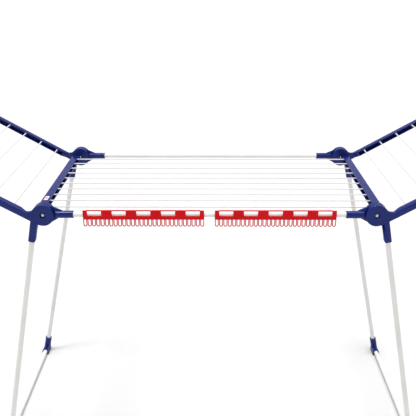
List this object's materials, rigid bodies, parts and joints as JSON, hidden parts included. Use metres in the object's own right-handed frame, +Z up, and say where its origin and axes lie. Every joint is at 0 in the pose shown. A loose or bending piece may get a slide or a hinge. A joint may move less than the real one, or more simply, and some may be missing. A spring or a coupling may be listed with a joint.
{
  "type": "clothes drying rack",
  "caption": "Free-standing folding clothes drying rack with a middle frame of taut lines, two raised side wings, splayed fold-away legs and clip-on small-item holders on the front rail.",
  "frame": {"origin": "on the floor, under the middle of the rack", "axes": "+X along the long side to the right, +Y from the front rail to the rear rail, +Z up"},
  "size_m": [1.7794, 0.573, 1.0508],
  "materials": {
    "blue_plastic": "smooth moulded navy-blue plastic with a soft gloss",
    "red_plastic": "smooth moulded bright red plastic",
    "white_tube": "warm white powder coat on steel tube",
    "white_line": "white plastic-coated washing line",
    "zinc_steel": "bright zinc-plated fastener"
  },
  "bodies": {
    "frame": {"front_tube": "white_tube", "rear_tube": "white_tube", "front_left_corner": "blue_plastic", "front_right_corner": "blue_plastic", "rear_left_corner": "blue_plastic", "rear_right_corner": "blue_plastic", "left_end_bar": "blue_plastic", "right_end_bar": "blue_plastic", "centre_lines": "white_line", "centre_line_turns": "white_line", "pivot_bolts": "zinc_steel", "pivot_nuts": "blue_plastic"},
    "left_wing": {"front_left_arm": "blue_plastic", "rear_left_arm": "blue_plastic", "front_left_arm_end": "blue_plastic", "rear_left_arm_end": "blue_plastic", "left_wing_tube": "white_tube", "left_wing_lines": "white_line", "left_wing_line_turns": "white_line"},
    "right_wing": {"front_right_arm": "blue_plastic", "rear_right_arm": "blue_plastic", "front_right_arm_end": "blue_plastic", "rear_right_arm_end": "blue_plastic", "right_wing_tube": "white_tube", "right_wing_lines": "white_line", "right_wing_line_turns": "white_line"},
    "left_legs": {"front_left_socket": "blue_plastic", "rear_left_socket": "blue_plastic", "front_left_leg": "white_tube", "rear_left_leg": "white_tube", "front_left_foot": "blue_plastic", "rear_left_foot": "blue_plastic", "left_floor_tube": "white_tube"},
    "right_legs": {"front_right_socket": "blue_plastic", "rear_right_socket": "blue_plastic", "front_right_leg": "white_tube", "rear_right_leg": "white_tube", "front_right_foot": "blue_plastic", "rear_right_foot": "blue_plastic", "right_floor_tube": "white_tube"},
    "left_clip_holder": {"left_holder": "red_plastic", "left_holder_clips": "red_plastic"},
    "right_clip_holder": {"right_holder": "red_plastic", "right_holder_clips": "red_plastic"}
  },
  "joints": [
    {"name": "left_wing_fold", "type": "hinge", "parent": "frame", "child": "left_wing", "pos_m": [-0.475, 0, 0.835], "axis": [0, 1, 0], "range_deg": [0, 146]},
    {"name": "right_wing_fold", "type": "hinge", "parent": "frame", "child": "right_wing", "pos_m": [0.475, 0, 0.835], "axis": [0, -1, 0], "range_deg": [0, 146]},
    {"name": "left_leg_fold", "type": "hinge", "parent": "frame", "child": "left_legs", "pos_m": [-0.475, 0, 0.835], "axis": [0, -1, 0], "range_deg": [0, 102.3]},
    {"name": "right_leg_fold", "type": "hinge", "parent": "frame", "child": "right_legs", "pos_m": [0.475, 0, 0.835], "axis": [0, 1, 0], "range_deg": [0, 99.3]},
    {"name": "left_holder_slide", "type": "slide", "parent": "frame", "child": "left_clip_holder", "axis": [1, 0, 0], "range_m": [-0.018, 0.013]},
    {"name": "right_holder_slide", "type": "slide", "parent": "frame", "child": "right_clip_holder", "axis": [-1, 0, 0], "range_m": [-0.018, 0.013]}
  ]
}
